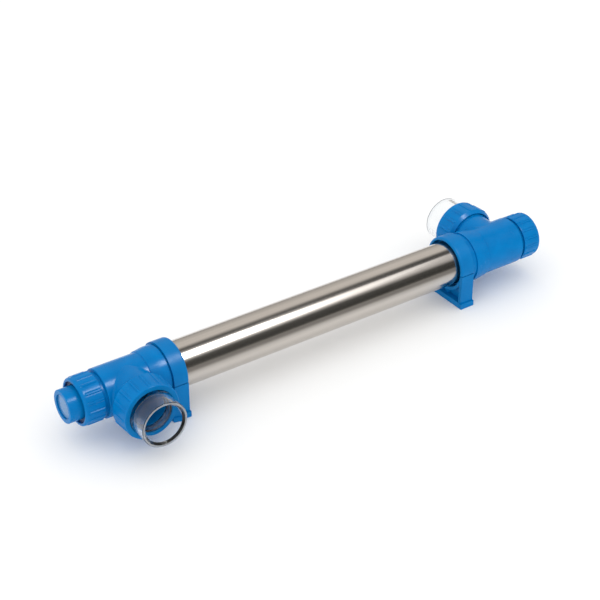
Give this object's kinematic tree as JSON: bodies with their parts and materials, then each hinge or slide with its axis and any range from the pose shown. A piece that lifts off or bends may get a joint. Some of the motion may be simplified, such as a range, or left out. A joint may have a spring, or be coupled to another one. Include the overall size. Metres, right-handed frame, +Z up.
{
  "type": "uv clarifier",
  "caption": "Stainless tube UV water clarifier with blue end tees, clear pipe unions, a screwed lamp end and clip-on wall feet.",
  "frame": {"origin": "centre of the bounding box's bottom face, on the plane that the two clip feet stand on", "axes": "+X along the reactor tube from the lamp end to the far end, -Y the way the lamp-end pipe socket faces, +Z up"},
  "size_m": [0.9162, 0.2524, 0.1173],
  "materials": {
    "stainless": "polished lengthwise",
    "blue_plastic": "satin gloss, faint moulding texture",
    "clip_plastic": "satin gloss",
    "dark_plastic": "matte",
    "clear_plastic": "clear gloss",
    "seal_rubber": "matte",
    "cushion_rubber": "matte",
    "quartz": "polished",
    "window_plastic": "smooth",
    "holder_plastic": "matte",
    "lamp_ceramic": "unglazed ceramic",
    "contact_brass": "bright",
    "filament_metal": "drawn",
    "pin_steel": "bright"
  },
  "bodies": {
    "reactor": {"reactor_tube": "stainless", "lamp_end_tee": "blue_plastic", "far_end_tee": "blue_plastic", "lamp_end_tube_seal": "seal_rubber", "far_end_tube_seal": "seal_rubber", "lamp_end_union_seal": "seal_rubber", "far_end_union_seal": "seal_rubber", "collar_seal": "seal_rubber", "end_plug_seal": "seal_rubber", "lamp_end_clip_base": "clip_plastic", "far_end_clip_base": "clip_plastic", "lamp_end_clip_pin": "pin_steel", "far_end_clip_pin": "pin_steel"},
    "inlet_tail": {"lamp_end_union_tail": "clear_plastic"},
    "inlet_nut": {"lamp_end_union_nut": "blue_plastic"},
    "outlet_tail": {"far_end_union_tail": "clear_plastic"},
    "outlet_nut": {"far_end_union_nut": "blue_plastic"},
    "sleeve_carrier": {"gland_collar": "dark_plastic", "sleeve_gland_ring": "seal_rubber", "quartz_sleeve": "quartz"},
    "lamp_nut": {"lamp_end_nut": "blue_plastic"},
    "lamp_cartridge": {"lamp_cap": "blue_plastic", "lamp_cap_seal": "seal_rubber", "sight_window": "window_plastic", "lamp_holder": "holder_plastic", "holder_contacts": "contact_brass", "lamp_glass": "quartz", "lamp_pin_cap": "lamp_ceramic", "lamp_tip_cap": "lamp_ceramic", "lamp_pins": "contact_brass", "lamp_return_wire": "filament_metal", "lamp_filaments": "filament_metal"},
    "plug": {"end_plug": "blue_plastic", "sleeve_cushion": "cushion_rubber"},
    "far_nut": {"far_end_nut": "blue_plastic"},
    "lamp_end_strap": {"lamp_end_clip_strap": "clip_plastic"},
    "far_end_strap": {"far_end_clip_strap": "clip_plastic"}
  },
  "joints": [
    {"name": "inlet_union_slide", "type": "slide", "parent": "reactor", "child": "inlet_tail", "axis": [0, -1, 0], "range_m": [0, 0.02]},
    {"name": "inlet_union_nut_spin", "type": "hinge", "parent": "inlet_tail", "child": "inlet_nut", "pos_m": [-0.35345, -0.069, 0.068], "axis": [0, -1, 0], "range_deg": [0, 1440]},
    {"name": "outlet_union_slide", "type": "slide", "parent": "reactor", "child": "outlet_tail", "axis": [0, 1, 0], "range_m": [0, 0.02]},
    {"name": "outlet_union_nut_spin", "type": "hinge", "parent": "outlet_tail", "child": "outlet_nut", "pos_m": [0.37355, 0.069, 0.068], "axis": [0, 1, 0], "range_deg": [0, 1440]},
    {"name": "lamp_end_slide", "type": "slide", "parent": "reactor", "child": "sleeve_carrier", "axis": [-1, 0, 0], "range_m": [0, 0.02]},
    {"name": "lamp_end_nut_spin", "type": "hinge", "parent": "sleeve_carrier", "child": "lamp_nut", "pos_m": [-0.41995, 0, 0.068], "axis": [-1, 0, 0], "range_deg": [0, 1440]},
    {"name": "far_end_slide", "type": "slide", "parent": "reactor", "child": "plug", "axis": [1, 0, 0], "range_m": [0, 0.02]},
    {"name": "far_end_nut_spin", "type": "hinge", "parent": "plug", "child": "far_nut", "pos_m": [0.44005, 0, 0.068], "axis": [1, 0, 0], "range_deg": [0, 1440]},
    {"name": "lamp_withdraw", "type": "slide", "parent": "sleeve_carrier", "child": "lamp_cartridge", "axis": [-1, 0, 0], "range_m": [0, 0.9]},
    {"name": "lamp_end_strap_hinge", "type": "hinge", "parent": "reactor", "child": "lamp_end_strap", "pos_m": [-0.27795, 0.0515, 0.064], "axis": [-1, 0, 0], "range_deg": [0, 110]},
    {"name": "far_end_strap_hinge", "type": "hinge", "parent": "reactor", "child": "far_end_strap", "pos_m": [0.28875, 0.0515, 0.064], "axis": [-1, 0, 0], "range_deg": [0, 110]}
  ],
  "couplings": [
    {"joint": "inlet_union_slide", "follows": "inlet_union_nut_spin", "m_per_rad": 0.0007957},
    {"joint": "outlet_union_slide", "follows": "outlet_union_nut_spin", "m_per_rad": 0.0007957},
    {"joint": "lamp_end_slide", "follows": "lamp_end_nut_spin", "m_per_rad": 0.0007957},
    {"joint": "far_end_slide", "follows": "far_end_nut_spin", "m_per_rad": 0.0007957}
  ]
}
